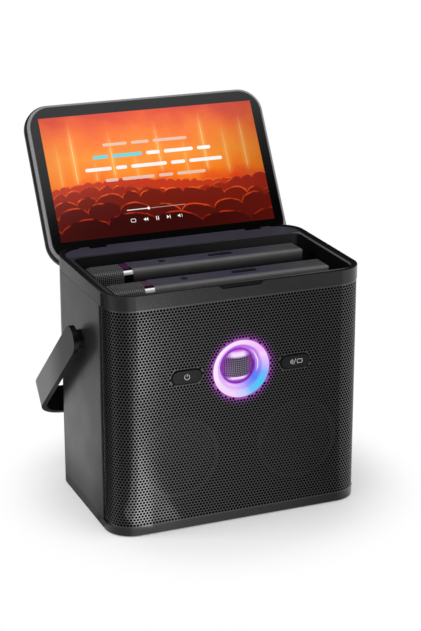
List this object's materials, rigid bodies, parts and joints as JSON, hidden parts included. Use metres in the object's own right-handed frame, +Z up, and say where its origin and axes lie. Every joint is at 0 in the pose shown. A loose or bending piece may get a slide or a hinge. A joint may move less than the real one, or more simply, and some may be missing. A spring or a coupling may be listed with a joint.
{
  "type": "karaoke machine",
  "caption": "Portable karaoke machine: upright speaker cabinet with a hinged display lid over a microphone bay, a lit horn in a perforated front and a swinging handle.",
  "frame": {"origin": "on the floor, under the middle of the speaker body", "axes": "+X to the right seen from the front, +Y to the back (the front looks along -Y), +Z up; the lid stands open at the rear"},
  "size_m": [0.378, 0.3619, 0.4882],
  "materials": {
    "cabinet_plastic": "satin",
    "baffle_plastic": "matte",
    "grille_metal": "satin",
    "rim_plastic": "satin",
    "seal_rubber": "matte",
    "deck_plastic": "satin",
    "bay_plastic": "satin",
    "contact_metal": "polished",
    "base_plastic": "satin",
    "foot_rubber": "matte",
    "horn_plastic": "gloss",
    "light_board": "matte",
    "horn_ring_plastic": "gloss",
    "mesh_metal": "satin",
    "driver_metal": "matte",
    "surround_rubber": "matte",
    "cone_fibre": "matte",
    "magnet_metal": "matte",
    "fastener_steel": "satin",
    "circuit_board": "satin",
    "heat_sink_metal": "satin",
    "battery_wrap": "satin",
    "socket_plate_plastic": "matte",
    "socket_metal": "satin",
    "hinge_steel": "satin",
    "hub_plastic": "matte",
    "button_plastic": "satin",
    "lid_plastic": "satin",
    "screen_glass": "gloss",
    "display_face": "gloss",
    "strap_plastic": "satin",
    "barrel_plastic": "satin",
    "collar_chrome": "polished",
    "capsule_metal": "satin",
    "control_plastic": "matte"
  },
  "bodies": {
    "body": {"cabinet_shell": "cabinet_plastic", "front_baffle": "baffle_plastic", "front_grille": "grille_metal", "top_frame": "rim_plastic", "rim_gasket": "seal_rubber", "hinge_cover": "deck_plastic", "mic_bay_tray": "bay_plastic", "charge_contacts": "contact_metal", "base_plate": "base_plastic", "foot_ring": "foot_rubber", "horn_flare": "horn_plastic", "led_ring_board": "light_board", "horn_bezel": "horn_ring_plastic", "tweeter_grille": "mesh_metal", "tweeter_motor": "driver_metal", "left_woofer_frame": "driver_metal", "left_woofer_surround": "surround_rubber", "left_woofer_cone": "cone_fibre", "left_woofer_magnet": "magnet_metal", "right_woofer_frame": "driver_metal", "right_woofer_surround": "surround_rubber", "right_woofer_cone": "cone_fibre", "right_woofer_magnet": "magnet_metal", "woofer_screws": "fastener_steel", "base_screws": "fastener_steel", "main_board": "circuit_board", "heat_sink": "heat_sink_metal", "battery_pack": "battery_wrap", "button_boards": "circuit_board", "io_panel": "socket_plate_plastic", "io_sockets": "socket_metal", "left_hinge_bracket": "hinge_steel", "right_hinge_bracket": "hinge_steel", "hinge_pins": "fastener_steel", "handle_hubs": "hub_plastic", "hub_nuts": "fastener_steel"},
    "power_button": {"power_button": "button_plastic"},
    "link_button": {"link_button": "button_plastic"},
    "display_lid": {"lid_frame": "lid_plastic", "lid_back": "lid_plastic", "lid_glass": "screen_glass", "display_panel": "display_face", "display_board": "circuit_board", "left_hinge_arm": "hinge_steel", "right_hinge_arm": "hinge_steel"},
    "handle": {"handle_strap": "strap_plastic"},
    "front_microphone": {"front_mic_barrel": "barrel_plastic", "front_mic_head": "mesh_metal", "front_mic_collar": "collar_chrome", "front_mic_capsule": "capsule_metal"},
    "front_mic_button": {"front_mic_button": "control_plastic"},
    "front_mic_rocker": {"front_mic_rocker": "control_plastic"},
    "rear_microphone": {"rear_mic_barrel": "barrel_plastic", "rear_mic_head": "mesh_metal", "rear_mic_collar": "collar_chrome", "rear_mic_capsule": "capsule_metal"},
    "rear_mic_button": {"rear_mic_button": "control_plastic"},
    "rear_mic_rocker": {"rear_mic_rocker": "control_plastic"}
  },
  "joints": [
    {"name": "lid_hinge", "type": "hinge", "parent": "body", "child": "display_lid", "pos_m": [0, 0.1065, 0.3079], "axis": [-1, 0, 0], "range_deg": [-120.9, 0]},
    {"name": "handle_swing", "type": "hinge", "parent": "body", "child": "handle", "pos_m": [0, 0.003, 0.233], "axis": [1, 0, 0], "range_deg": [0, 64]},
    {"name": "power_press", "type": "slide", "parent": "body", "child": "power_button", "axis": [0, 1, 0], "range_m": [0, 0.001], "stiffness_N_per_m": 900},
    {"name": "link_press", "type": "slide", "parent": "body", "child": "link_button", "axis": [0, 1, 0], "range_m": [0, 0.001], "stiffness_N_per_m": 900},
    {"name": "front_mic_lift", "type": "slide", "parent": "body", "child": "front_microphone", "axis": [0, 0, 1], "range_m": [0, 0.06]},
    {"name": "front_mic_press", "type": "slide", "parent": "front_microphone", "child": "front_mic_button", "axis": [0, 0, -1], "range_m": [0, 0.0005], "stiffness_N_per_m": 800},
    {"name": "front_mic_rock", "type": "hinge", "parent": "front_microphone", "child": "front_mic_rocker", "pos_m": [0.0265, -0.05945, 0.3176], "axis": [0, 1, 0], "range_deg": [-2, 2], "stiffness_Nm_per_rad": 0.3},
    {"name": "rear_mic_lift", "type": "slide", "parent": "body", "child": "rear_microphone", "axis": [0, 0, 1], "range_m": [0, 0.06]},
    {"name": "rear_mic_press", "type": "slide", "parent": "rear_microphone", "child": "rear_mic_button", "axis": [0, 0, -1], "range_m": [0, 0.0005], "stiffness_N_per_m": 800},
    {"name": "rear_mic_rock", "type": "hinge", "parent": "rear_microphone", "child": "rear_mic_rocker", "pos_m": [0.0265, 0.02055, 0.3176], "axis": [0, 1, 0], "range_deg": [-2, 2], "stiffness_Nm_per_rad": 0.3}
  ]
}
